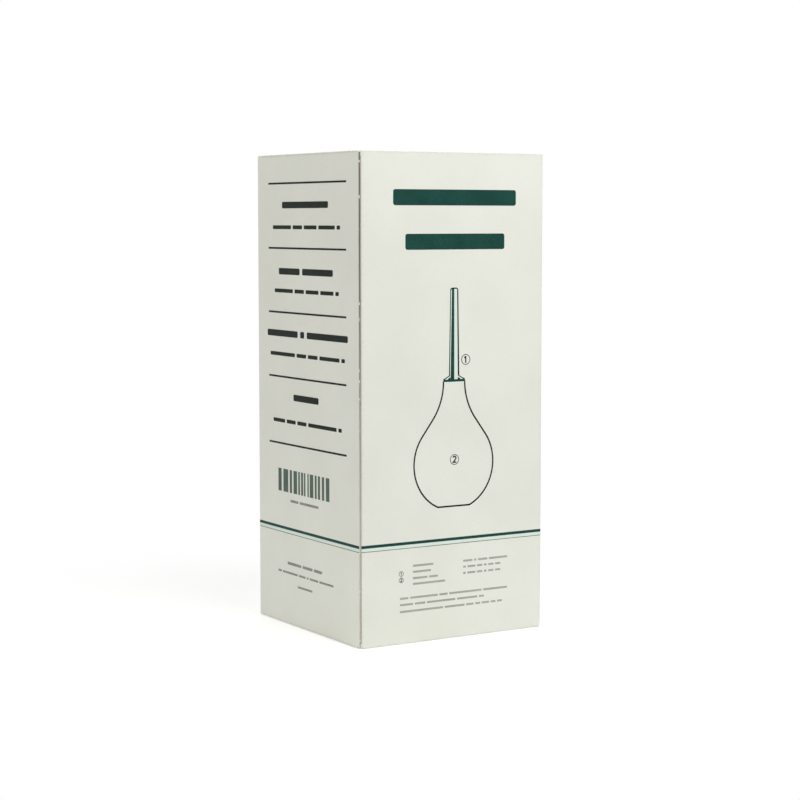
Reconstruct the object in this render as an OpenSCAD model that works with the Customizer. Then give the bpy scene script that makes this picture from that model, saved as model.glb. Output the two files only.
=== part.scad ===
// Packaged enema syringe: a soft bulb with a hard plug-in nozzle, standing in its folding carton.
// The carton is one creased board blank: four walls, a glue flap and two reverse tuck ends.
// Units are mm. The carton stands on z = 0, its front wall faces -Y and its seam is at front left.

/* [Bulb] */
// Largest diameter of the bulb
bulb_d = 68; // [50:0.5:90]
// Height of the bulb, from its flat foot to the rim of its neck
bulb_h = 91; // [75:0.5:120]
// Diameter of the flat foot the bulb stands on
foot_d = 27.2; // [16:0.2:40]
// Outside diameter of the neck at its rim
neck_d = 18.2; // [14:0.1:26]
// How much steeper the straight flank is than ball and neck curve would be where they met without it, in degrees
flank_turn = 8.3; // [0:0.1:12]
// Wall of the soft bulb
bulb_wall = 2; // [1.2:0.1:4]

/* [Nozzle] */
// Length of the nozzle above the rim of the neck
nozzle_l = 67.5; // [40:0.5:110]
// Diameter of the nozzle at its tip
tip_d = 7.2; // [5:0.1:10]
// Diameter of the nozzle above its flange
root_d = 8.7; // [6:0.1:12]
// Radius of the rounded tip
tip_round = 2; // [0.5:0.1:2.4]
// Diameter of the channel through the nozzle
bore_d = 3; // [1.5:0.1:3.8]
// Diameter of the flange that covers the neck
flange_d = 18.6; // [15:0.1:30]
// Height of the flange rim
rim_h = 0.9; // [0.5:0.1:2]
// Height of the cone between flange rim and nozzle
cone_h = 2.9; // [1:0.1:8]
// Diameter of the plug at the flange
plug_d = 11; // [8:0.1:12]
// How much narrower the plug is at its lower end
plug_taper = 0.6; // [0:0.1:1.5]
// Length of the plug inside the neck
plug_l = 7; // [4:0.1:12]
// Play between plug and neck, all round
plug_fit = 0.08; // [0.05:0.01:0.3]
// Gap between flange and neck rim
seat_gap = 0.05; // [0:0.05:0.5]

/* [Carton walls] */
// Thickness of the board
board = 0.45; // [0.3:0.05:0.8]
// Free space left and right of the bulb
side_play = 3.05; // [1:0.05:10]
// Free space in front of the bulb and behind it
depth_play = 2.05; // [1:0.05:10]
// Free height above the nozzle, under the lid
head_room = 7.85; // [7.6:0.05:30]
// Outside radius of the folds between walls
fold_r = 0.8; // [0.6:0.05:1.4]
// Width of the glue flap inside the left wall
glue_w = 12; // [8:0.5:20]
// Slant of the glue flap's two ends, in degrees
glue_slant = 20; // [5:1:40]
// How far the left wall's cut edge stays behind the front face
seam_step = 0.5; // [0.2:0.05:0.6]
// How far the cut edges of front and back wall stay inside the ends
edge_drop = 0.2; // [0:0.05:0.4]

/* [Tuck ends] */
// Length of the tuck flap that goes behind the wall
tuck_l = 13; // [8:0.5:14]
// Free space between tuck flap and wall
tuck_gap = 0.9; // [0.9:0.05:2]
// Radius of the tuck flap's corners
tuck_round = 6; // [2:0.5:7]
// Space between the tips of two dust flaps
dust_gap = 18.5; // [12:0.5:30]
// Slant of a dust flap on the side of the lid's crease, in degrees
dust_slant = 27; // [27:1:34]
// Start of that slant, measured from the lid's crease
dust_back = 2; // [1.5:0.1:5]
// Distance from a dust flap to the tuck flap
dust_front = 4.5; // [4:0.1:8]
// Radius of the dust flap's corners
dust_round = 4; // [1:0.5:6]
// How far the lid stays inside the side walls' outer faces
lid_side = 0.3; // [0.1:0.05:1]
// Gap between a crease and the flap that folds on it
crease_gap = 0.15; // [0.15:0.01:0.3]
// Gap between two boards that lie on each other
lap_gap = 0.1; // [0.05:0.05:0.3]
// Gap between the bulb's foot and the bottom flaps
rest_gap = 0.2; // [0.1:0.05:0.5]

/* [Hidden] */
$fn = 96;

// Outside sizes of the carton, from the syringe it holds
carton_w = bulb_d + 2 * side_play + 2 * board;
carton_d = bulb_d + 2 * depth_play + 2 * board;
bulb_z = 2 * board + lap_gap + rest_gap;
carton_h = bulb_z + bulb_h + nozzle_l + head_room + board;
half_w = carton_w / 2;
half_d = carton_d / 2;
half_board = board / 2;

// Creases: the lid folds on the back wall, the dust flaps on the side walls one board lower
lid_axis_y = half_d - half_board;
lid_axis_z = carton_h - half_board;
dust_axis_x = half_w - half_board;
dust_axis_z = carton_h - board - lap_gap - half_board;
flap_start = half_board + crease_gap;
tuck_face_y = -(half_d - 2 * board - tuck_gap);
lid_half_w = half_w - lid_side;
tuck_half_w = half_w - 2 * board - 0.6;
dust_l = dust_axis_x - dust_gap / 2;
side_low = carton_h - dust_axis_z;

// Bulb curves: a ball on a flat foot, a straight flank, and a hollow arc from the flank to the neck
ball_r = bulb_d / 2;
foot_r = foot_d / 2;
neck_r = neck_d / 2;
ball_z = sqrt(ball_r * ball_r - foot_r * foot_r);
rise = bulb_h - ball_z;
direct_r = (neck_r * neck_r + rise * rise - ball_r * ball_r) / (2 * (ball_r - neck_r));
flank_a = atan2(rise, neck_r + direct_r) - flank_turn;
sweep_r = (neck_r * cos(flank_a) + rise * sin(flank_a) - ball_r) / (1 - cos(flank_a));
sweep_x = neck_r + sweep_r;
socket_z = bulb_h - plug_l - 0.8;

// One half of a rounded fold between two walls: 45 degrees of board, starting at angle a
module half_fold(x, y, a) {
  translate([x, y])
    rotate(a)
      intersection() {
        difference() {
          circle(r = fold_r);
          circle(r = fold_r - board);
        }
        polygon([[0, 0], [2 * fold_r, 0], [2 * fold_r, 2 * fold_r]]);
      }
}

// Turns a top piece into its bottom counterpart: half a turn about the X line through the middle
module turned_over() {
  translate([0, 0, carton_h])
    rotate([180, 0, 0])
      children();
}

// Round bead of a crease along X
module bead_x(x0, x1, y, z) {
  translate([x0, y, z])
    rotate([0, 90, 0])
      cylinder(r = half_board, h = x1 - x0);
}

// Round bead of a crease along Y
module bead_y(y0, y1, x, z) {
  translate([x, y1, z])
    rotate([90, 0, 0])
      cylinder(r = half_board, h = y1 - y0);
}

// Wall at the front: crease bead at the foot, cut edge at the top; x0 is where its left fold starts
module cross_wall(x0) {
  x1 = half_w - fold_r;
  top = carton_h - edge_drop;
  translate([x0, -half_d, half_board])
    cube([x1 - x0, board, top - half_board]);
  bead_x(x0, x1, -lid_axis_y, half_board);
  translate([0, 0, board])
    linear_extrude(height = top - board) {
      half_fold(x1, fold_r - half_d, -90);
      half_fold(x0, fold_r - half_d, -135);
    }
}

// Wall at a side: crease beads at both ends
module side_wall(x, y0, y1) {
  translate([x - half_board, y0, side_low])
    cube([board, y1 - y0, dust_axis_z - side_low]);
  bead_y(y0, y1, x, side_low);
  bead_y(y0, y1, x, dust_axis_z);
}

// Folds of a side wall, as high as the wall between its beads
module side_folds() {
  translate([0, 0, side_low])
    linear_extrude(height = dust_axis_z - side_low)
      children();
}

// Lid with a rounded end where the tuck flap folds
module lid_plate() {
  translate([-lid_half_w, tuck_face_y, carton_h - board])
    cube([2 * lid_half_w, lid_axis_y - flap_start - tuck_face_y, board]);
  intersection() {
    translate([-lid_half_w, tuck_face_y, carton_h - board])
      rotate([0, 90, 0])
        cylinder(r = board, h = 2 * lid_half_w);
    translate([-lid_half_w, tuck_face_y - board, carton_h - board])
      cube([2 * lid_half_w, board, board]);
  }
}

// Tuck flap with two rounded corners, hanging behind the wall
module tuck_plate() {
  translate([0, tuck_face_y, carton_h - board - lap_gap / 2])
    rotate([90, 0, 0])
      linear_extrude(height = board) {
        translate([-tuck_half_w, tuck_round - tuck_l])
          square([2 * tuck_half_w, tuck_l - tuck_round]);
        translate([tuck_round - tuck_half_w, -tuck_l])
          square([2 * (tuck_half_w - tuck_round), tuck_l]);
        translate([tuck_round - tuck_half_w, tuck_round - tuck_l])
          circle(r = tuck_round);
        translate([tuck_half_w - tuck_round, tuck_round - tuck_l])
          circle(r = tuck_round);
      }
}

// Dust flap at the left wall: slanted beside the lid's crease, set back from the tuck flap
module dust_plate() {
  tip_y1 = lid_axis_y - dust_back - dust_l * tan(dust_slant);
  tip_y0 = tuck_face_y + dust_front;
  back_y = lid_axis_y - dust_back - flap_start * tan(dust_slant);
  shoulder = dust_front - 1;
  translate([-dust_axis_x, 0, dust_axis_z - half_board])
    linear_extrude(height = board)
      difference() {
        polygon([[flap_start, back_y], [flap_start, tip_y0 - shoulder], [flap_start + shoulder, tip_y0],
                 [dust_l, tip_y0], [dust_l, tip_y1]]);
        translate([dust_l - dust_round, tip_y0 + dust_round])
          difference() {
            translate([0, -2 * dust_round])
              square([2 * dust_round, 2 * dust_round]);
            circle(r = dust_round);
          }
      }
}

// Half section of the bulb, between the heights foot and top; inset is how far it lies inside the outer face
module bulb_section(inset, foot, top) {
  belly_r = ball_r - inset;
  arc_r = sweep_r + inset;
  low_h = ball_z + belly_r * sin(flank_a);
  high_r = sweep_x - arc_r * cos(flank_a);
  high_h = bulb_h - arc_r * sin(flank_a);
  intersection() {
    translate([0, ball_z])
      circle(r = belly_r);
    translate([0, foot])
      square([belly_r, low_h - foot]);
  }
  polygon([[0, low_h], [belly_r * cos(flank_a), low_h], [high_r, high_h], [0, high_h]]);
  difference() {
    translate([0, high_h])
      square([high_r, top - high_h]);
    translate([sweep_x, bulb_h])
      circle(r = arc_r, $fn = 192);
  }
}

// Front wall, foot crease and half of the seam fold
module front_panel() {
  color([0.90, 0.90, 0.86])
    cross_wall(board + fold_r - half_w);
}

// Right wall
module right_panel() {
  color([0.89, 0.89, 0.85]) {
    side_wall(dust_axis_x, fold_r - half_d, half_d - fold_r);
    side_folds() {
      half_fold(half_w - fold_r, fold_r - half_d, -45);
      half_fold(half_w - fold_r, half_d - fold_r, 0);
    }
  }
}

// Back wall: the front wall's counterpart, with the crease of the lid at its top
module back_panel() {
  color([0.90, 0.90, 0.86])
    turned_over()
      cross_wall(fold_r - half_w);
}

// Left wall, with a cut edge over the seam
module left_panel() {
  color([0.88, 0.88, 0.84]) {
    side_wall(-dust_axis_x, seam_step - half_d, half_d - fold_r);
    side_folds()
      half_fold(fold_r - half_w, half_d - fold_r, 135);
  }
}

// Glue flap: folded from the front wall and glued inside the left wall
module glue_flap() {
  seam_x = board + fold_r - half_w;
  low = side_low + 1;
  high = carton_h - low;
  cut = glue_w * tan(glue_slant);
  color([0.80, 0.79, 0.74]) {
    translate([0, 0, low])
      linear_extrude(height = high - low)
        half_fold(seam_x, fold_r - half_d, 180);
    translate([board - half_w, fold_r - half_d, 0])
      rotate([90, 0, 90])
        linear_extrude(height = board)
          polygon([[0, low], [glue_w, low + cut], [glue_w, high - cut], [0, high]]);
  }
}

// Lid at the top
module top_lid() {
  color([0.91, 0.91, 0.87])
    lid_plate();
}

// Tuck flap of the top lid
module top_tuck() {
  color([0.87, 0.87, 0.83])
    tuck_plate();
}

// Left dust flap under the top lid
module top_dust_left() {
  color([0.84, 0.84, 0.80])
    dust_plate();
}

// Right dust flap under the top lid
module top_dust_right() {
  color([0.84, 0.84, 0.80])
    mirror([1, 0, 0])
      dust_plate();
}

// Lid at the bottom, folded from the front wall
module bottom_lid() {
  color([0.91, 0.91, 0.87])
    turned_over()
      lid_plate();
}

// Tuck flap of the bottom lid, behind the back wall
module bottom_tuck() {
  color([0.87, 0.87, 0.83])
    turned_over()
      tuck_plate();
}

// Left dust flap above the bottom lid
module bottom_dust_left() {
  color([0.84, 0.84, 0.80])
    turned_over()
      dust_plate();
}

// Right dust flap above the bottom lid
module bottom_dust_right() {
  color([0.84, 0.84, 0.80])
    turned_over()
      mirror([1, 0, 0])
        dust_plate();
}

// Hollow soft bulb with a tapered socket in its neck
module bulb() {
  wide = plug_d / 2 + plug_fit;
  narrow = wide - plug_taper / 2;
  color([0.80, 0.86, 0.80])
    translate([0, 0, bulb_z])
      rotate_extrude()
        difference() {
          bulb_section(0, 0, bulb_h);
          bulb_section(bulb_wall, bulb_wall, socket_z);
          polygon([[0, socket_z - 1], [narrow, socket_z - 1], [narrow, bulb_h - plug_l],
                   [wide, bulb_h], [wide, bulb_h + 1], [0, bulb_h + 1]]);
        }
}

// Hard nozzle: tapered pipe with a rounded tip, flange over the neck, plug inside the neck
module nozzle() {
  tip_r = tip_d / 2;
  root_r = root_d / 2;
  flange_r = flange_d / 2;
  bore_r = bore_d / 2;
  plug_top = plug_d / 2;
  plug_low = plug_top - plug_taper / 2;
  shaft_z = rim_h + cone_h;
  color([0.13, 0.42, 0.35])
    translate([0, 0, bulb_z + bulb_h + seat_gap])
      rotate_extrude()
        difference() {
          union() {
            polygon([[0, -plug_l], [plug_low - 0.5, -plug_l], [plug_low, 0.5 - plug_l], [plug_top, 0],
                     [flange_r, 0], [flange_r, rim_h], [root_r, shaft_z],
                     [tip_r, nozzle_l - tip_round], [0, nozzle_l - tip_round]]);
            intersection() {
              translate([tip_r - tip_round, nozzle_l - tip_round])
                circle(r = tip_round);
              translate([0, nozzle_l - tip_round])
                square([tip_r, tip_round]);
            }
            translate([0, nozzle_l - tip_round])
              square([tip_r - tip_round, tip_round]);
          }
          translate([0, -plug_l - 1])
            square([bore_r, nozzle_l + plug_l + 2]);
          polygon([[0, -plug_l - 1], [bore_r + 2.4, -plug_l - 1], [bore_r + 2.2, -plug_l], [bore_r, 0.4 * plug_l],
                   [0, 0.4 * plug_l]]);
        }
}

front_panel();
right_panel();
back_panel();
left_panel();
glue_flap();
top_lid();
top_tuck();
top_dust_left();
top_dust_right();
bottom_lid();
bottom_tuck();
bottom_dust_left();
bottom_dust_right();
bulb();
nozzle();
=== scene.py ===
import math

import bmesh
import bpy
from mathutils import Matrix, Vector


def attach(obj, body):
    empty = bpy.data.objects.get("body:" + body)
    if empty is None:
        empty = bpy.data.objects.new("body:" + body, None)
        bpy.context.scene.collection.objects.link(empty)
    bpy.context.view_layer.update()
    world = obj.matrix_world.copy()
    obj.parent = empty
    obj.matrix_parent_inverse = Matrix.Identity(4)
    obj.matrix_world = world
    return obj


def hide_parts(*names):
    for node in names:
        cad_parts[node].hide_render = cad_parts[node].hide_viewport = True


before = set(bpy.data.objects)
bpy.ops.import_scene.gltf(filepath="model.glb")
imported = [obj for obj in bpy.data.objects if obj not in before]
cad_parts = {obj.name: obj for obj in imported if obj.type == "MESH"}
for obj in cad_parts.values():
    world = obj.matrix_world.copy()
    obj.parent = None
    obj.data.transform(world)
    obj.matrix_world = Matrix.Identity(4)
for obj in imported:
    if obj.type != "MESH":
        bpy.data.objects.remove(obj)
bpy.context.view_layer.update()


# Sleeve of the carton: four walls of one blank of folding boxboard, 0.45 mm thick, clay-coated white
# outside and grey inside. It was printed flat, die-cut and creased, then folded and glued to a flap
# behind the left wall, whose raw edge shows at the front left corner.
MM = 0.001
WIDTH, DEPTH, HEIGHT = 75 * MM, 73 * MM, 168 * MM
BOARD = 0.45 * MM
FOLD = 0.8 * MM
SEAM_GAP = 0.12 * MM
RAW_SETBACK = 0.5 * MM
END_GAP = 0.03 * MM
CUT_SHORT = 0.2 * MM
SWELL = 3.5 * MM
RUB_WIDTH = 2.2 * MM
BRINK, BORDER = 1 * MM, 3 * MM
WELD = 1e-7
FACE, BACK, CUT, RAW = range(4)
UP = Vector((0, 0, 1))


class Shade:
    """An output socket of a finish, with plain arithmetic on it."""

    def __init__(self, socket):
        self.socket = socket

    def make(self, kind, settings=None, sockets=None, out=0):
        tree = self.socket.id_data
        node = tree.nodes.new(kind)
        for name, value in (settings or {}).items():
            setattr(node, name, value)
        for name, value in (sockets or {}).items():
            if isinstance(value, Shade):
                tree.links.new(value.socket, node.inputs[name])
            else:
                node.inputs[name].default_value = value
        return Shade(node.outputs[out])

    def maths(self, operation, first, second):
        return self.make("ShaderNodeMath", {"operation": operation}, {0: first, 1: second})

    def __add__(self, other):
        return self.maths("ADD", self, other)

    def __radd__(self, other):
        return self.maths("ADD", other, self)

    def __sub__(self, other):
        return self.maths("SUBTRACT", self, other)

    def __rsub__(self, other):
        return self.maths("SUBTRACT", other, self)

    def __mul__(self, other):
        return self.maths("MULTIPLY", self, other)

    def __rmul__(self, other):
        return self.maths("MULTIPLY", other, self)

    def stretch(self, x, y, z):
        return self.make("ShaderNodeVectorMath", {"operation": "MULTIPLY"}, {0: self, 1: (x, y, z)})

    def noise(self, scale, detail=2.0):
        return self.make("ShaderNodeTexNoise", None, {"Vector": self, "Scale": scale, "Detail": detail})

    def between(self, low, high):
        return self.make("ShaderNodeMapRange", {"interpolation_type": "SMOOTHSTEP"},
                         {"Value": self, "From Min": low, "From Max": high})

    def mix(self, first, second):
        return self.make("ShaderNodeMix", {"data_type": "RGBA"}, {0: self, 6: first, 7: second}, out=2)

    def bump(self, strength, distance):
        return self.make("ShaderNodeBump", None,
                         {"Height": self, "Strength": strength, "Distance": distance})

    def feed(self, shader, socket):
        self.socket.id_data.links.new(self.socket, shader.inputs[socket])


def tint(red, green, blue):
    """A colour written as 0 to 255 on a screen."""
    parts = [c / 255 for c in (red, green, blue)]
    return tuple(c / 12.92 if c <= 0.04045 else ((c + 0.055) / 1.055) ** 2.4 for c in parts) + (1.0,)


def start_finish(name, **fixed):
    """A new finish: its material, its shader and the place on the piece."""
    material = bpy.data.materials.new(name)
    material.use_nodes = True
    tree = material.node_tree
    shader = tree.nodes["Principled BSDF"]
    for socket, value in fixed.items():
        shader.inputs[socket.replace("_", " ")].default_value = value
    return material, shader, Shade(tree.nodes.new("ShaderNodeTexCoord").outputs["Object"])


def coated_face():
    material, shader, place = start_finish("coated_board", Specular_IOR_Level=0.42)
    cloud = place.noise(34, 3)
    grain = place.noise(900, 3)
    fibre = place.noise(3200, 2)
    wear = place.make("ShaderNodeAttribute", {"attribute_name": "wear"}, out="Fac")
    rubbed = (wear * 1.1 + grain * 0.9 - 1.05).between(0.0, 0.9)
    paper = cloud.between(0.3, 0.7).mix(tint(236, 237, 226), tint(240, 241, 231))
    paper = (grain.between(0.56, 0.74) * 0.30).mix(paper, tint(227, 227, 215))
    (rubbed * 0.45).mix(paper, tint(214, 212, 199)).feed(shader, "Base Color")
    (0.40 + cloud * 0.10 + rubbed * 0.25).feed(shader, "Roughness")
    (grain * 0.6 + fibre * 0.4).bump(0.10, 0.00004).feed(shader, "Normal")
    return material


def grey_back():
    material, shader, place = start_finish("grey_board_back", Specular_IOR_Level=0.25)
    cloud = place.noise(45, 3)
    fleck = place.stretch(1, 1, 0.45).noise(1500, 2)
    pulp = cloud.between(0.3, 0.7).mix(tint(176, 171, 158), tint(190, 186, 174))
    pulp = (fleck.between(0.60, 0.72) * 0.7).mix(pulp, tint(126, 120, 108))
    pulp = (place.noise(1100, 1).between(0.66, 0.76) * 0.6).mix(pulp, tint(214, 211, 201))
    pulp.feed(shader, "Base Color")
    (0.82 + cloud * 0.12).feed(shader, "Roughness")
    fleck.bump(0.25, 0.00006).feed(shader, "Normal")
    return material


def cut_edge(name, core, pale, painted_seam_shade=0.0):
    """The plies of the board where it was cut; a raw edge gets painted shade towards its top, standing in
    for the shadow in the seam's gap.
    """
    material, shader, place = start_finish(name, Specular_IOR_Level=0.2)
    ply = place.stretch(1, 1, 0.12).noise(2600, 2)
    torn = place.noise(420, 3)
    height = place.make("ShaderNodeSeparateXYZ", None, {0: place}, out="Z")
    edge = ply.between(0.35, 0.65).mix(tint(*core), tint(*pale))
    # Painted shade: the raw edge darkens towards the top, for the shadow in the gap of the seam.
    edge = (height.between(0.03, 0.14) * painted_seam_shade).mix(edge, tint(84, 82, 70))
    (torn.between(0.60, 0.72) * 0.7).mix(edge, tint(222, 221, 210)).feed(shader, "Base Color")
    (0.85 + ply * 0.1).feed(shader, "Roughness")
    torn.bump(0.3, 0.00008).feed(shader, "Normal")
    return material


# The raw seam edge is greyer than the die-cut edge and carries painted shade, darker towards its top.
BOARD_FINISH = [coated_face(), grey_back(), cut_edge("die_cut_edge", (238, 236, 226), (246, 245, 236)),
                cut_edge("raw_seam_edge", (204, 202, 190), (216, 214, 203), painted_seam_shade=0.9)]

fold_x, fold_y = WIDTH / 2 - FOLD, DEPTH / 2 - FOLD
seam_x = BOARD + FOLD + SEAM_GAP - WIDTH / 2
raw_edge = DEPTH / 2 - RAW_SETBACK

# Each wall by the middle of its foot, the way it runs as seen from outside, and where it starts and ends
WALLS = {
    "front": (Vector((0, -DEPTH / 2, 0)), Vector((1, 0, 0)), seam_x, fold_x),
    "right": (Vector((WIDTH / 2, 0, 0)), Vector((0, 1, 0)), -fold_y, fold_y),
    "back": (Vector((0, DEPTH / 2, 0)), Vector((-1, 0, 0)), -fold_x, fold_x),
    "left": (Vector((-WIDTH / 2, 0, 0)), Vector((0, -1, 0)), -fold_y, raw_edge),
}


def on_wall(wall, u, z, lift=0.0):
    """A point on a wall's outer face, which swells a little away from its folds and ends."""
    middle, along, start, end = WALLS[wall]
    across = (u - start) * (end - u) / (end - start) ** 2
    upward = z * (HEIGHT - z) / HEIGHT ** 2
    swell = SWELL * max(0, across) * max(0, upward)
    return middle + along * u + UP * z + along.cross(UP) * (lift + swell)


def spread(low, high, step):
    """Stations from low to high, close together near both ends."""
    inner_low, inner_high = low + BORDER, high - BORDER
    count = max(1, round((inner_high - inner_low) / step))
    middle = [inner_low + (inner_high - inner_low) * i / count for i in range(count + 1)]
    return [low, low + BRINK] + middle + [high - BRINK, high]


def wear_at(value, low, high):
    """How rubbed the board is, from how near a fold or an end it lies."""
    return max(0.0, 1 - min(value - low, high - value) / RUB_WIDTH)


def add_sheet(bm, points, caps, last_edge=CUT):
    """Board from rows of (outer point, inner point, wear); caps says which of its four sides are cut."""
    rub = bm.verts.layers.float["wear"]
    outer, inner = [], []
    for row in points:
        for side, index in ((outer, 0), (inner, 1)):
            verts = []
            for spot in row:
                vert = bm.verts.new(spot[index])
                vert[rub] = spot[2]
                verts.append(vert)
            side.append(verts)

    def face(verts, finish):
        unlike = [v for i, v in enumerate(verts) if (v.co - verts[i - 1].co).length > 1e-9]
        if len(unlike) > 2:
            bm.faces.new(unlike).material_index = finish

    rows, columns = len(points), len(points[0])
    for i in range(rows - 1):
        for j in range(columns - 1):
            face([outer[i][j], outer[i][j + 1], outer[i + 1][j + 1], outer[i + 1][j]], FACE)
            face([inner[i][j], inner[i + 1][j], inner[i + 1][j + 1], inner[i][j + 1]], BACK)
    for j in range(columns - 1):
        if caps[0]:
            face([outer[0][j], inner[0][j], inner[0][j + 1], outer[0][j + 1]], CUT)
        if caps[1]:
            face([outer[-1][j], outer[-1][j + 1], inner[-1][j + 1], inner[-1][j]], CUT)
    for i in range(rows - 1):
        if caps[2](i):
            face([outer[i][0], outer[i + 1][0], inner[i + 1][0], inner[i][0]], CUT)
        if caps[3](i):
            face([outer[i][-1], inner[i][-1], inner[i + 1][-1], outer[i + 1][-1]], last_edge)


def start_board():
    bm = bmesh.new()
    bm.verts.layers.float.new("wear")
    return bm


def finish_piece(name, bm, finishes, body, replaced=(), sharp=35):
    """Turns a mesh into a piece of the object that rides on a body."""
    bmesh.ops.remove_doubles(bm, verts=bm.verts, dist=WELD)
    mesh = bpy.data.meshes.new(name)
    bm.to_mesh(mesh)
    bm.free()
    mesh.polygons.foreach_set("use_smooth", [True] * len(mesh.polygons))
    mesh.set_sharp_from_angle(angle=math.radians(sharp))
    for finish in finishes:
        mesh.materials.append(finish)
    piece = bpy.data.objects.new(name, mesh)
    bpy.context.scene.collection.objects.link(piece)
    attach(piece, body)
    if replaced:
        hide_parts(*replaced)


SHARED_ROWS = [BRINK] + spread(BORDER, HEIGHT - BORDER, 8 * MM) + [HEIGHT - BRINK]


def rows_of(low, high, bead_low, bead_high):
    """Heights of a wall's rows, with the depths of both faces; a crease ends in a bead."""
    radius = BOARD / 2
    rows = [(z, 0.0, BOARD) for z in SHARED_ROWS]
    bead = []
    for a in (math.radians(turn) for turn in (0, 22, 45, 67, 90)):
        bead.append((radius * (1 - math.cos(a)), radius * (1 - math.sin(a)), radius * (1 + math.sin(a))))
    foot = head = [(0.0, 0.0, BOARD)]
    if bead_low:
        foot = bead
    if bead_high:
        head = bead[::-1]
    foot = [(low + rise, out, back) for rise, out, back in foot]
    head = [(high - rise, out, back) for rise, out, back in head]
    return foot + rows + head, len(foot), len(foot) + len(rows) - 1


def add_wall(bm, wall, low, high, bead_low=True, bead_high=True, raw_end=False):
    """The flat part of a wall between two folds."""
    start, end = WALLS[wall][2:]
    rows, first, last = rows_of(low, high, bead_low, bead_high)
    points = []
    for z, out, back in rows:
        row = []
        for u in spread(start, end, 5 * MM):
            wear = max(wear_at(u, start, end) * 0.8, wear_at(z, low, high))
            row.append((on_wall(wall, u, z, -out), on_wall(wall, u, z, -back), wear))
        points.append(row)

    def at_ends(i):
        return i < first or i >= last

    add_sheet(bm, points, (not bead_low, not bead_high, at_ends, lambda i: raw_end or at_ends(i)),
              RAW if raw_end else CUT)


def add_fold(bm, x, y, start, end, low, high, raw_start=False):
    """Part of the rounded fold between two walls."""
    rows, first, last = rows_of(low, high, False, False)
    points = []
    for z, out, back in rows:
        row = []
        for step in range(6):
            a = math.radians(start + (end - start) * step / 5)
            way = Vector((math.cos(a), math.sin(a), 0))
            centre = Vector((x, y, z))
            wear = max(0.75, wear_at(z, low, high))
            row.append((centre + way * FOLD, centre + way * (FOLD - BOARD), wear))
        points.append(row)

    def at_ends(i):
        return i < first or i >= last

    add_sheet(bm, points, (True, True, lambda i: raw_start or at_ends(i), at_ends))


side_low, side_high = BOARD + END_GAP, HEIGHT - BOARD - END_GAP
turn_low, turn_high = side_low + BOARD / 2, side_high - BOARD / 2

sleeve = start_board()
add_fold(sleeve, seam_x, -fold_y, 180, 270, BOARD, HEIGHT - CUT_SHORT, raw_start=True)
add_wall(sleeve, "front", 0, HEIGHT - CUT_SHORT, bead_high=False)
add_fold(sleeve, fold_x, -fold_y, 270, 315, BOARD, HEIGHT - CUT_SHORT)
add_fold(sleeve, fold_x, -fold_y, 315, 360, turn_low, turn_high)
add_wall(sleeve, "right", side_low, side_high)
add_fold(sleeve, fold_x, fold_y, 0, 45, turn_low, turn_high)
add_fold(sleeve, fold_x, fold_y, 45, 90, CUT_SHORT, HEIGHT - BOARD)
add_wall(sleeve, "back", CUT_SHORT, HEIGHT, bead_low=False)
add_fold(sleeve, -fold_x, fold_y, 90, 135, CUT_SHORT, HEIGHT - BOARD)
add_fold(sleeve, -fold_x, fold_y, 135, 180, turn_low, turn_high)
add_wall(sleeve, "left", side_low, side_high, raw_end=True)
# Strips that meet both close the same small end, which isn't a face of the board once they are joined
bmesh.ops.remove_doubles(sleeve, verts=sleeve.verts, dist=WELD)
doubled = [f for f in sleeve.faces if any(e.is_boundary for e in f.edges)]
bmesh.ops.delete(sleeve, geom=doubled, context="FACES")
finish_piece("carton_sleeve", sleeve, BOARD_FINISH, "carton",
             ["front_panel", "right_panel", "back_panel", "left_panel"])


# Nicks on the left wall's raw edge: small tufts of white board that held the blank in its sheet until
# it was stripped, each torn off by hand and left standing a little proud of the cut.
NICKS = ((164.4, 1.0), (152.6, 1.2), (117.0, 0.9), (91.0, 1.0), (85.0, 0.7), (19.7, 0.9), (2.9, 1.1))
NICK_ROOT = DEPTH / 2 - 0.6 * MM

nicks = start_board()
for height, size in NICKS:
    rings = []
    for part, proud in ((-0.5, 0.0), (-0.3, 0.7), (0.05, 1.0), (0.3, 0.8), (0.5, 0.0)):
        z = (height + part * size) * MM
        edge = raw_edge + 0.14 * MM * proud - 0.02 * MM
        depth = BOARD * (0.5 - 0.42 * proud), BOARD * (0.5 + 0.34 * proud)
        rings.append([nicks.verts.new(on_wall("left", u, z, -d)) for u, d in
                      ((NICK_ROOT, depth[0]), (edge, depth[0]), (edge, depth[1]), (NICK_ROOT, depth[1]))])
    for lower, upper in zip(rings, rings[1:]):
        for k in range(4):
            nicks.faces.new((lower[k - 1], lower[k], upper[k], upper[k - 1]))
    nicks.faces.new(rings[0])
    nicks.faces.new(reversed(rings[-1]))
bmesh.ops.recalc_face_normals(nicks, faces=nicks.faces)
finish_piece("seam_nicks", nicks, [BOARD_FINISH[FACE]], "carton")


# Glue flap: the last panel of the blank, folded in from the front wall and stuck behind the left wall.
# Only its grey inner face shows, when one looks into the open carton.
glue_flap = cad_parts["glue_flap"]
glue_flap.data.materials.clear()
glue_flap.data.materials.append(BOARD_FINISH[BACK])


# Lids, tuck flaps and dust flaps: the ends of the same blank, white outside, grey inside, hinged on
# creases. The top lid folds on the back wall and the bottom lid on the front wall, and each tuck flap
# slips in behind the wall across from its crease, over two dust flaps.
LID_X = WIDTH / 2 - 0.3 * MM
LID_BACK, LID_TURN = 35.9 * MM, -34.7 * MM
TURNED = Matrix.Translation((0, 0, HEIGHT)) @ Matrix.Rotation(math.pi, 4, "X")
UPRIGHT = Matrix.Identity(4)
MIRRORED = Matrix.Scale(-1, 4, (1, 0, 0))


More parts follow.
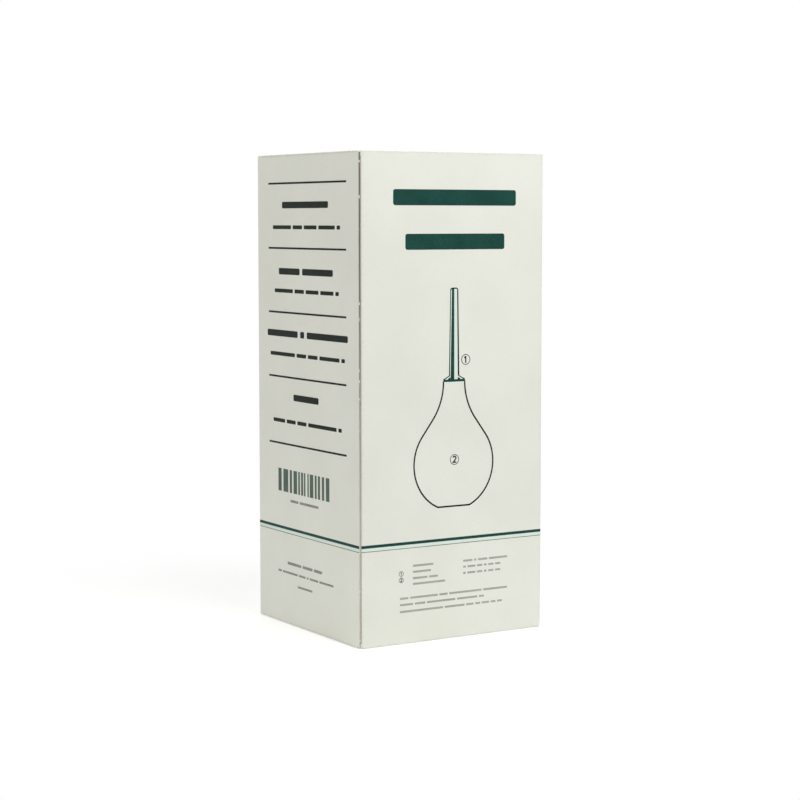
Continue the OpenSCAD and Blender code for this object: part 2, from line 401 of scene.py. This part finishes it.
def lid_board():
    bm = start_board()
    section = [(y, HEIGHT, y, HEIGHT - BOARD) for y in reversed(spread(LID_TURN, LID_BACK, 6 * MM))]
    for a in (30, 60, 90):
        turn = math.radians(a)
        section.append((LID_TURN - BOARD * math.sin(turn), HEIGHT - BOARD + BOARD * math.cos(turn),
                        LID_TURN, HEIGHT - BOARD))
    points = []
    for x in spread(-LID_X, LID_X, 6 * MM):
        row = []
        for y, z, inner_y, inner_z in section:
            wear = max(wear_at(x, -LID_X, LID_X), wear_at(y, LID_TURN, LID_BACK))
            row.append((Vector((x, y, z)), Vector((x, inner_y, inner_z)), wear))
        points.append(row)
    add_sheet(bm, points, (True, True, lambda i: True, lambda i: True))
    return bm


def flap_board(outline, outer, inner):
    """A flat flap: its outline, and how a point of it lies on the outer and on the inner face."""
    bm = start_board()
    rub = bm.verts.layers.float["wear"]
    front = [bm.verts.new(outer(*p)) for p in outline]
    back = [bm.verts.new(inner(*p)) for p in outline]
    for vert in front + back:
        vert[rub] = 1.0
    for i in range(len(outline)):
        bm.faces.new((front[i - 1], back[i - 1], back[i], front[i])).material_index = CUT
    bm.faces.new(reversed(back)).material_index = BACK
    middle = bm.faces.new(front)
    for wear, width in ((0.45, 0.8 * MM), (0.0, 1.4 * MM)):
        bmesh.ops.inset_individual(bm, faces=[middle], thickness=width, use_even_offset=True)
        for vert in middle.verts:
            vert[rub] = wear
    bmesh.ops.recalc_face_normals(bm, faces=bm.faces)
    return bm


def corner(x, y, radius, start):
    """A quarter circle round (x, y), from the angle start."""
    steps = [math.radians(start + 90 * k / 8) for k in range(9)]
    return [(x + radius * math.cos(a), y + radius * math.sin(a)) for a in steps]


def tuck_board():
    half, top, foot, r = 36 * MM, HEIGHT - BOARD - 0.05 * MM, HEIGHT - BOARD - 13.05 * MM, 6 * MM
    outline = [(half, top), (-half, top)]
    outline += corner(-half + r, foot + r, r, 180) + corner(half - r, foot + r, r, 270)
    return flap_board(outline, lambda x, z: (x, LID_TURN - BOARD, z), lambda x, z: (x, LID_TURN, z))


def dust_board():
    axis, top = WIDTH / 2 - BOARD / 2, HEIGHT - 0.55 * MM
    root, tip, r = 0.375 * MM, 28.025 * MM, 4 * MM
    near, shoulder = -30.2 * MM, 3.5 * MM
    outline = [(root, 34.084 * MM), (root, near - shoulder), (root + shoulder, near)]
    outline += corner(tip - r, near + r, r, 270) + [(tip, 19.995 * MM)]
    return flap_board(outline, lambda s, y: (s - axis, y, top), lambda s, y: (s - axis, y, top - BOARD))


FLAPS = (("lid", lid_board, UPRIGHT), ("tuck", tuck_board, UPRIGHT),
         ("dust_left", dust_board, UPRIGHT), ("dust_right", dust_board, MIRRORED))

for end, turn in (("top", UPRIGHT), ("bottom", TURNED)):
    for part, make, shift in FLAPS:
        node = f"{end}_{part}"
        bm = make()
        bm.transform(turn @ shift)
        if shift is MIRRORED:
            bmesh.ops.reverse_faces(bm, faces=bm.faces)
        finish_piece(f"{node}_board", bm, BOARD_FINISH, node, [node])


# Band round the carton: a heavy line and a hair line with a pale mint strip between them, printed in
# one pass across all four walls and their folds.
INK = 0.025 * MM


def ink_finish(name, full, thin):
    """Offset ink: a little uneven, and thinner where the board's grain took less of it."""
    material, shader, place = start_finish(name, Specular_IOR_Level=0.12)
    cover = place.noise(140, 2)
    grain = place.noise(2600, 2)
    color = cover.between(0.3, 0.7).mix(tint(*full), tint(*thin))
    (grain.between(0.60, 0.76) * 0.07).mix(color, tint(200, 208, 199)).feed(shader, "Base Color")
    (0.46 + grain * 0.14).feed(shader, "Roughness")
    return material


TEAL_INK = ink_finish("dark_teal_ink", (18, 64, 56), (24, 72, 63))
MINT_INK = ink_finish("pale_mint_ink", (226, 241, 231), (231, 243, 234))
HAIR_INK = ink_finish("olive_grey_ink", (112, 120, 104), (124, 131, 116))


def lay_ink(bm, film=INK):
    """Gives a flat ink shape its film of ink, down to the board."""
    bmesh.ops.remove_doubles(bm, verts=bm.verts, dist=WELD)
    bm.normal_update()
    bmesh.ops.solidify(bm, geom=bm.faces[:], thickness=0.8 * film)


def around():
    """Points of the sleeve's outside at a height, wall by wall, from the seam fold to the raw edge."""
    stations = []

    def turn(x, y, start):
        for k in range(1, 8):
            a = math.radians(start + 90 * k / 8)
            way = Vector((math.cos(a), math.sin(a), 0))
            stations.append(lambda z, lift, way=way: Vector((x, y, z)) + way * (FOLD + lift))

    def run(wall):
        for u in spread(*WALLS[wall][2:], 5 * MM):
            stations.append(lambda z, lift, u=u: on_wall(wall, u, z, lift))

    turn(seam_x, -fold_y, 180)
    run("front")
    turn(fold_x, -fold_y, 270)
    run("right")
    turn(fold_x, fold_y, 0)
    run("back")
    turn(-fold_x, fold_y, 90)
    run("left")
    return stations


def print_band(name, finish, low, high):
    bm = bmesh.new()
    rows = [[bm.verts.new(spot(z * MM, INK)) for spot in around()] for z in (low, high)]
    for j in range(len(rows[0]) - 1):
        bm.faces.new((rows[0][j], rows[0][j + 1], rows[1][j + 1], rows[1][j]))
    lay_ink(bm)
    finish_piece(name, bm, [finish], "carton")


HEAVY_TOP, STRIP_TOP, STRIP_FOOT, HAIR_FOOT = 35.3, 34.3, 33.22, 32.98
print_band("band_heavy_line", TEAL_INK, STRIP_TOP, HEAVY_TOP)
print_band("band_strip", MINT_INK, STRIP_FOOT, STRIP_TOP)
print_band("band_hair_line", HAIR_INK, HAIR_FOOT, STRIP_FOOT)


# Print on the left wall: four blocks of two rows of bars between five rules, then a field of plain
# stripes over the band and three rows of fine bars under it, in black-green and grey offset ink.
class Print:
    """Flat ink shapes on one wall, in mm from the wall's middle and from its foot."""

    def __init__(self, wall, film=INK):
        self.wall = wall
        self.film = film
        self.bm = bmesh.new()

    def spot(self, u, z):
        return self.bm.verts.new(on_wall(self.wall, u * MM, z * MM, self.film))

    def strip(self, pairs):
        """A strip of ink through pairs of points."""
        verts = [[self.spot(u, z) for u, z in pair] for pair in pairs]
        for (a, b), (c, d) in zip(verts, verts[1:]):
            self.bm.faces.new((a, c, d, b))

    def bar(self, left, right, z, height, rounding=0.5):
        """A bar with rounded ends; rounding 1 makes half circles."""
        r = min(height / 2 * rounding, (right - left) / 2)
        ends = [(r * (1 - math.cos(a)), height / 2 - r + r * math.sin(a))
                for a in (math.radians(18 * k) for k in range(6))]
        count = max(1, round((right - left - 2 * r) / 4))
        flat = [(left + r + (right - left - 2 * r) * k / count, height / 2) for k in range(1, count)]
        spots = [(left + d, h) for d, h in ends] + flat + [(right - d, h) for d, h in reversed(ends)]
        self.strip([((u, z - h), (u, z + h)) for u, h in spots if h > 0 or r > 0])

    def row(self, left, right, z, height, lengths, gap):
        """A row of bars between two ends, by their shares of its length."""
        unit = (right - left - gap * (len(lengths) - 1)) / sum(lengths)
        for length in lengths:
            self.bar(left, left + unit * length, z, height)
            left += unit * length + gap

    def line(self, points, width, closed=False):
        """An even line of ink through points."""
        count = len(points)
        pairs = []
        for i in range(count + closed):
            before = points[(i - 1) % count] if closed or i else points[i]
            after = points[(i + 1) % count] if closed or i < count - 1 else points[i]
            here = points[i % count]
            run = Vector((after[0] - before[0], after[1] - before[1])).normalized() * width / 2
            pairs.append(((here[0] + run.y, here[1] - run.x), (here[0] - run.y, here[1] + run.x)))
        self.strip(pairs)

    def finish(self, name, finish):
        self.bm.normal_update()
        out = WALLS[self.wall][1].cross(UP)
        bmesh.ops.reverse_faces(self.bm, faces=[f for f in self.bm.faces if f.normal.dot(out) < 0])
        lay_ink(self.bm, self.film)
        finish_piece(name, self.bm, [finish], "carton")


BLACK_INK = ink_finish("black_green_ink", (12, 22, 16), (20, 32, 25))
STRIPE_INK = ink_finish("grey_green_ink", (78, 97, 86), (93, 111, 100))
NOTE_INK = ink_finish("soft_grey_ink", (140, 146, 138), (154, 159, 150))

rules = Print("left")
for z in (157.9, 135.0, 112.2, 89.2, 65.2):
    rules.bar(-27.8, 27.8, z, 0.68, 0)
rules.finish("left_rules", BLACK_INK)

blocks = Print("left")
TALL_ROWS = ((150.2, -17.5, 15.5, [1]), (126.8, -20.0, 18.8, [5, 7]),
             (104.7, -28.8, 28.8, [8, 1, 10]), (82.2, -9.4, 8.7, [1]))
LOW_ROWS = ((142.4, -24.4, 23.7, [6, 3, 4, 5, 1]), (119.9, -23.2, 22.8, [6, 3, 4, 4, 1]),
            (97.3, -26.6, 26.8, [8, 3, 3, 6, 1]), (73.4, -24.6, 24.6, [4, 3, 3, 9, 1]))
for z, left, right, lengths in TALL_ROWS:
    blocks.row(left, right, z, 2.3, lengths, 1.9)
for z, left, right, lengths in LOW_ROWS:
    blocks.row(left, right, z, 1.35, lengths, 1.3)
blocks.finish("left_blocks", BLACK_INK)

STRIPES = ((2.4, 1.4), (3.6, 1.2), (1.6, 1.2), (2.6, 0.9), (1.2, 0.9), (1.4, 0.7), (1.0, 1.5),
           (0.9, 0.8), (2.5, 1.1), (1.3, 0.9), (1.5, 1.3), (1.6, 1.2), (2.4, 0))
stripes = Print("left")
spot = -21.1
for width, space in STRIPES:
    stripes.bar(spot, spot + width, 52.0, 8.2, 0)
    spot += width + space
stripes.finish("left_stripes", STRIPE_INK)

notes = Print("left")
notes.row(-12.0, 8.3, 45.0, 0.9, [3, 7], 1.0)
notes.row(-14.5, 10.5, 22.3, 1.0, [7, 5, 4], 1.0)
notes.row(-21.5, 18.5, 18.8, 0.75, [2, 9, 4, 1, 5, 8], 0.9)
notes.row(-7.0, 3.5, 14.6, 0.75, [1], 0)
notes.finish("left_notes", NOTE_INK)


# Print on the front wall: two wide bars over a line drawing of the syringe, its two pieces marked with
# the numerals 1 and 2 in rings, and under the band rows of fine bars in a pale grey offset ink.
headings = Print("front")
headings.bar(-24.4, 25.7, 152.6, 5.4, 0.3)
headings.bar(-19.6, 20.9, 137.6, 5.4, 0.3)
headings.finish("front_headings", TEAL_INK)


def arc(x, z, radius, start, end, steps):
    angles = [math.radians(start + (end - start) * k / steps) for k in range(steps + 1)]
    return [(x + radius * math.cos(a), z + radius * math.sin(a)) for a in angles]


# The bulb's outline in mm: a ball, and a sweep up to the neck that leaves a straight flank between them
BALL_R, BALL_Z, FOOT_R = 34, 31.16, 13.6
SWEEP_R, SWEEP_X, NECK_Z = 45.95, 55.05, 91
FLANK = 36.89
# The drawing: its scale, its middle, the height of the bulb's foot and of the pipe's root and end
DRAWN = 0.4776
MIDDLE, DRAWN_FOOT = 0.1, 46.3
PIPE_ROOT, PIPE_END = 91.5, 121.0
OVERPRINT = INK + 0.01 * MM


def drawn(points, side=1):
    """Points of the syringe, in mm from its axis and its foot, as they lie in the drawing."""
    return [(MIDDLE + side * r * DRAWN, DRAWN_FOOT + h * DRAWN) for r, h in points]


def level(half, z):
    """Two points at one height, on both sides of the drawing's middle."""
    return (MIDDLE - half, z), (MIDDLE + half, z)


def upright(side, low, high):
    """Two points one over the other, beside the drawing's middle."""
    return (MIDDLE + side, low), (MIDDLE + side, high)


ball = arc(0, BALL_Z, BALL_R, math.degrees(math.atan2(-BALL_Z, FOOT_R)), FLANK, 30)
sweep = arc(SWEEP_X, NECK_Z, SWEEP_R, 180 + FLANK, 180, 14)
half_bulb = [(0, 0), (6, 0)] + ball + sweep

outline = Print("front")
outline.line(drawn(half_bulb, -1)[::-1] + drawn(half_bulb)[1:], 0.58)
outline.finish("drawing_bulb_outline", BLACK_INK)

fill = Print("front")
fill.strip([level(1.86, PIPE_ROOT), level(1.47, PIPE_END), level(0.95, 121.6)])
fill.strip([level(4.2, 90.2), level(1.86, PIPE_ROOT)])
fill.strip([upright(-4.15, 88.9, 89.55), upright(4.15, 88.9, 89.55)])
fill.finish("drawing_pipe_fill", MINT_INK)

pipe = Print("front", OVERPRINT)
tip = [level(half, z) for half, z in ((1.47, PIPE_END), (1.3, 121.4), (0.95, 121.65))]
pipe.line([left for left, right in tip] + [right for left, right in reversed(tip)], 0.42)
for side, root, end, thick, thin in ((-1, 1.90, 1.50, 0.42, 0.28), (1, 1.81, 1.40, 0.60, 0.48)):
    root, end = MIDDLE + side * root, MIDDLE + side * end
    pipe.strip([((root - thick / 2, PIPE_ROOT), (root + thick / 2, PIPE_ROOT)),
                ((end - thin / 2, PIPE_END), (end + thin / 2, PIPE_END))])
    pipe.line([(MIDDLE + side * 4.35, 90.25), (MIDDLE + side * 1.85, 91.55)], 0.36)
    pipe.strip([upright(side * 1.5, 90.2, 91.1), upright(side * 2.5, 90.2, 90.6)])
pipe.finish("drawing_pipe_outline", BLACK_INK)

core = Print("front", OVERPRINT)
core.strip([((MIDDLE - 1.45, 90.2), (MIDDLE + 0.05, 90.2)),
            ((MIDDLE - 0.97, 121.55), (MIDDLE - 0.03, 121.55))])
core.strip([upright(-4.43, 89.5, 90.32), upright(4.43, 89.5, 90.32)])
core.finish("drawing_pipe_core", TEAL_INK)

FIGURE_INK = ink_finish("mark_grey_ink", (36, 46, 40), (46, 56, 49))
marks = Print("front")


def numeral_one(x, z, tall, width):
    marks.line([(x, z - tall / 2), (x, z + tall / 2)], width)
    marks.line([(x - tall * 0.25, z + tall * 0.24), (x, z + tall * 0.42)], width)


def numeral_two(x, z, tall, width):
    bow = arc(x, z + tall * 0.22, tall * 0.25, 165, -30, 10)
    marks.line(bow + [(x - tall * 0.25, z - tall * 0.42)], width)
    marks.bar(x - tall * 0.34, x + tall * 0.32, z - tall / 2 + width / 2, width, 0)


RINGS = ((4.87, 97.0, 1.72, 0.25, numeral_one), (0.34, 62.48, 1.72, 0.25, numeral_two),
         (-21.2, 24.4, 0.85, 0.16, numeral_one), (-21.2, 22.2, 0.85, 0.16, numeral_two))
for x, z, radius, width, numeral in RINGS:
    marks.line(arc(x, z, radius, 0, 348.75, 31), width, closed=True)
    numeral(x, z, radius * 1.38, radius * 0.29)
marks.finish("front_numerals", FIGURE_INK)

PALE_NOTE_INK = ink_finish("pale_grey_ink", (166, 170, 162), (178, 181, 172))
FINE_ROWS = (
    (-16.5, ((26.8, -8.2, [1]), (24.7, -9.2, [1]), (22.5, -6.4, [5, 3]), (20.5, -3.4, [1]))),
    (4.1, ((26.7, 22.7, [4, 1, 4, 8]), (24.6, 19.8, [1, 3, 2, 1, 2, 2]), (22.4, 19.8, [1, 3, 2, 1, 2, 2]))),
    (-21.7, ((15.8, 22.7, [3, 10, 3, 12, 9]), (13.6, 12.9, [5, 4, 11, 8, 2]),
             (11.2, 20.6, [17, 8, 3, 2, 3, 2, 2]))),
)
notes = Print("front")
for left, rows in FINE_ROWS:
    for z, right, lengths in rows:
        notes.row(left, right, z, 0.7, lengths, 0.7)
notes.finish("front_notes", PALE_NOTE_INK)


# Bulb: the syringe's pump and tank, blown in soft PVC of a pale celadon. It stands on a flat foot, and
# two fine mould seams run up its sides to the thick rim of the neck.
BULB_FOOT = 1.2 * MM
WALL, LIP = 2.0, 0.5
NECK_R, MOUTH_R, SOCKET_R = 9.1, 5.58, 5.28
SOCKET_FOOT, CAVITY_FOOT_R = 83.2, 13.18
SEAM_FROM_R, SEAM_FROM_Z = 9.2, 0.5


def soft_finish():
    material, shader, place = start_finish("soft_pvc", Specular_IOR_Level=0.45, Subsurface_Weight=0.12,
                                           Subsurface_Scale=0.004)
    cloud = place.noise(28, 3)
    bloom = place.noise(420, 3)
    color = cloud.between(0.3, 0.7).mix(tint(186, 208, 193), tint(200, 218, 204))
    (bloom.between(0.5, 0.75) * 0.3).mix(color, tint(214, 226, 216)).feed(shader, "Base Color")
    (0.36 + bloom * 0.16).feed(shader, "Roughness")
    (bloom * 0.7 + place.noise(1600, 2) * 0.3).bump(0.08, 0.0001).feed(shader, "Normal")
    return material


def revolve(profile, turns, foot, swell=None):
    """A closed or axis-to-axis profile in mm, turned about Z; swell adds to the radius by angle."""
    bm = bmesh.new()
    rings = []
    for r, z in profile:
        if r < 1e-6:
            rings.append([bm.verts.new((0, 0, foot + z * MM))])
            continue
        ring = []
        for k in range(turns):
            a = 2 * math.pi * k / turns
            wide = (r + (swell(r, z, a) if swell else 0)) * MM
            ring.append(bm.verts.new((wide * math.cos(a), wide * math.sin(a), foot + z * MM)))
        rings.append(ring)
    for lower, upper in zip(rings, rings[1:] + ([] if len(rings[0]) == 1 else rings[:1])):
        for k in range(turns):
            corners = [lower[k % len(lower)], lower[(k + 1) % len(lower)],
                       upper[(k + 1) % len(upper)], upper[k % len(upper)]]
            bm.faces.new(list(dict.fromkeys(corners)))
    if bm.calc_volume(signed=True) < 0:
        bmesh.ops.reverse_faces(bm, faces=bm.faces)
    return bm


outside = [(0, 0.35), (9, 0.25), (11.6, 0.0), (12.9, 0.05)] + ball[1:] + sweep[:-1]
rim = arc(NECK_R - LIP, NECK_Z - LIP, LIP, 0, 90, 6) + arc(MOUTH_R + LIP, NECK_Z - LIP, LIP, 90, 180, 6)
socket = [(SOCKET_R, 84.0), (SOCKET_R, SOCKET_FOOT)]
cavity_sweep = arc(SWEEP_X, NECK_Z, SWEEP_R + WALL, 180, 180 + FLANK, 14)
cavity_sweep = [(r, z) for r, z in cavity_sweep if z < SOCKET_FOOT]
cavity_low = math.degrees(math.atan2(WALL - BALL_Z, CAVITY_FOOT_R))
cavity_ball = arc(0, BALL_Z, BALL_R - WALL, FLANK, cavity_low, 30)
inside = cavity_sweep + cavity_ball + [(6, WALL), (0, WALL)]


def mould_seam(r, z, a):
    """A fine raised line on two sides of the bulb's outside."""
    if (r, z) not in outside or r <= SEAM_FROM_R or z <= SEAM_FROM_Z:
        return 0
    away = min(abs(math.sin(a / 2)), abs(math.cos(a / 2))) * 2 * r
    return 0.10 * math.exp(-(away / 0.35) ** 2)


bulb = revolve(outside + rim + socket + inside, 384, BULB_FOOT, mould_seam)
finish_piece("syringe_bulb", bulb, [soft_finish()], "bulb", ["bulb"], sharp=60)


# Nozzle: a hard pipe moulded in dark green melamine, bored through, with a rounded tip, a conical
# flange that covers the rim of the neck and a tapered plug that holds in it by friction.
NOZZLE_SEAT = 92.25 * MM
BORE_R, MOUTH_ROUND = 1.5, 0.6
TIP_R, TIP_Z, TIP_ROUND = 3.6, 67.5, 2.0
FLANGE_R = 9.3
PLUG_R, PLUG_FOOT, PLUG_ROUND = 5.2, -7.0, 0.4


def hard_finish():
    material, shader, place = start_finish("glossy_green_resin", Coat_Roughness=0.06)
    swirl = place.stretch(1, 1, 0.3).noise(70, 3)
    speck = place.noise(1400, 2)
    color = swirl.between(0.3, 0.7).mix(tint(22, 74, 62), tint(30, 88, 74))
    (speck.between(0.62, 0.76) * 0.25).mix(color, tint(52, 110, 94)).feed(shader, "Base Color")
    (0.22 + swirl * 0.10).feed(shader, "Roughness")
    (0.35 + swirl * 0.2).feed(shader, "Coat Weight")
    swirl.bump(0.04, 0.0002).feed(shader, "Normal")
    return material


bore = [(BORE_R, 2.8), (BORE_R, TIP_Z - MOUTH_ROUND)]
mouth = arc(BORE_R + MOUTH_ROUND, TIP_Z - MOUTH_ROUND, MOUTH_ROUND, 180, 90, 4)[1:]
tip = arc(TIP_R - TIP_ROUND, TIP_Z - TIP_ROUND, TIP_ROUND, 85, 0, 8)
taper = [(3.7, 60), (3.9, 45), (4.12, 25), (4.28, 10), (4.36, 5.0)]
root = [(4.5, 4.25), (4.9, 3.75), (5.5, 3.4)]
flange = [(9.0, 1.2)] + arc(FLANGE_R - 0.35, 0.85, 0.35, 70, 0, 4)
flange += arc(FLANGE_R - 0.2, 0.2, 0.2, 0, -90, 4)
plug = [(5.6, 0.0), (5.5, -0.1), (5.22, -6.4)]
plug += arc(PLUG_R - PLUG_ROUND, PLUG_FOOT + PLUG_ROUND, PLUG_ROUND, 0, -90, 4)
funnel = [(3.75, PLUG_FOOT), (3.6, PLUG_FOOT + 0.2)]
pipe_half = bore + mouth + tip + taper + root + flange + plug + funnel
nozzle = revolve(pipe_half, 96, NOZZLE_SEAT)
finish_piece("syringe_nozzle", nozzle, [hard_finish()], "nozzle", ["nozzle"], sharp=50)


# Studio: a wide white floor that keeps the carton's shadow and can be seen through from below, a white
# surround, soft lamps in front, at the left and behind, and the camera at the photographed angle.
# Near the carton the floor gives a little extra light, like a white card.
FLOOR_GLOW = 0.34
CARD_LIGHT = 0.13
SKY_LIGHT = 0.37
CARD_R, FADE_R = 0.06, 0.20
LAMP_AIM = Vector((0, 0, 0.09))
WHITE = (1, 1, 1, 1)

scene = bpy.context.scene
scene.view_settings.view_transform = "Standard"


def seen_rays(tree):
    """1 for a ray that shows the surface as background, 0 for one that carries its light."""
    rays = tree.nodes.new("ShaderNodeLightPath").outputs
    seen = Shade(rays["Is Camera Ray"])
    for ray in ("Is Glossy Ray", "Is Transmission Ray"):
        seen = seen.maths("MAXIMUM", seen, Shade(rays[ray]))
    return seen


ground = bpy.data.materials.new("white_floor")
ground.use_nodes = True
tree = ground.node_tree
tree.nodes.clear()
seen = seen_rays(tree)
place = Shade(tree.nodes.new("ShaderNodeTexCoord").outputs["Object"])
far = place.make("ShaderNodeVectorMath", {"operation": "LENGTH"}, {0: place}, out="Value")
far = far.between(CARD_R, FADE_R)
matt = seen.make("ShaderNodeBsdfDiffuse", None, {"Color": (0.98, 0.98, 0.98, 1)})
glow = seen.make("ShaderNodeEmission", None, {"Color": WHITE, "Strength": FLOOR_GLOW})
both = seen.make("ShaderNodeAddShader", None, {0: matt, 1: glow})
bounce = seen.make("ShaderNodeEmission", None, {"Color": WHITE, "Strength": CARD_LIGHT})
card = seen.make("ShaderNodeAddShader", None, {0: matt, 1: bounce})
lit = far.make("ShaderNodeMixShader", None, {0: far, 1: card, 2: matt})
near = seen.make("ShaderNodeMixShader", None, {0: seen, 1: lit, 2: both})
white = seen.make("ShaderNodeEmission", None, {"Color": WHITE, "Strength": 1.0})
wide = (far * seen).make("ShaderNodeMixShader", None, {0: far * seen, 1: near, 2: white})
behind = seen.make("ShaderNodeNewGeometry", None, None, out="Backfacing")
clear = seen.make("ShaderNodeBsdfTransparent")
shown = behind.make("ShaderNodeMixShader", None, {0: behind, 1: wide, 2: clear})
output = tree.nodes.new("ShaderNodeOutputMaterial")
shown.feed(output, "Surface")

floor_bm = bmesh.new()
bmesh.ops.create_circle(floor_bm, cap_ends=True, radius=6.0, segments=96)
floor_mesh = bpy.data.meshes.new("floor")
floor_bm.to_mesh(floor_mesh)
floor_bm.free()
floor_mesh.materials.append(ground)
floor = bpy.data.objects.new("floor", floor_mesh)
floor.location.z = -0.1 * MM
scene.collection.objects.link(floor)

world = bpy.data.worlds.new("white_surround")
scene.world = world
world.use_nodes = True
tree = world.node_tree
tree.nodes.clear()
seen = seen_rays(tree)
strength = seen + (1 - seen) * SKY_LIGHT
sky = strength.make("ShaderNodeBackground", None, {"Color": WHITE, "Strength": strength})
sky.feed(tree.nodes.new("ShaderNodeOutputWorld"), "Surface")


def soft_lamp(name, spot, size, power, color=(1, 1, 1)):
    lamp = bpy.data.lights.new(name, "AREA")
    lamp.shape = "DISK"
    lamp.size = size
    lamp.energy = power
    lamp.color = color
    holder = bpy.data.objects.new(name, lamp)
    holder.location = spot
    holder.rotation_euler = (LAMP_AIM - Vector(spot)).to_track_quat("-Z", "Y").to_euler()
    scene.collection.objects.link(holder)


soft_lamp("soft_key", (0.07, -0.33, 0.42), 0.3, 1.0)
soft_lamp("side_fill", (-0.38, -0.04, 0.52), 0.25, 0.70, (1, 0.985, 0.93))
soft_lamp("rear_fill", (0.55, 0.95, 0.8), 0.6, 2.6)

camera = bpy.data.cameras.new("camera")
camera.sensor_width = 36
camera.lens = 90.489
viewpoint = bpy.data.objects.new("camera", camera)
yaw, pitch = math.radians(31.637), math.radians(5.1176)
viewpoint.location = (-0.37793, -0.61478, 0.14498)
viewpoint.rotation_euler = (math.pi / 2 - pitch, 0, -yaw)
scene.collection.objects.link(viewpoint)
scene.camera = viewpoint
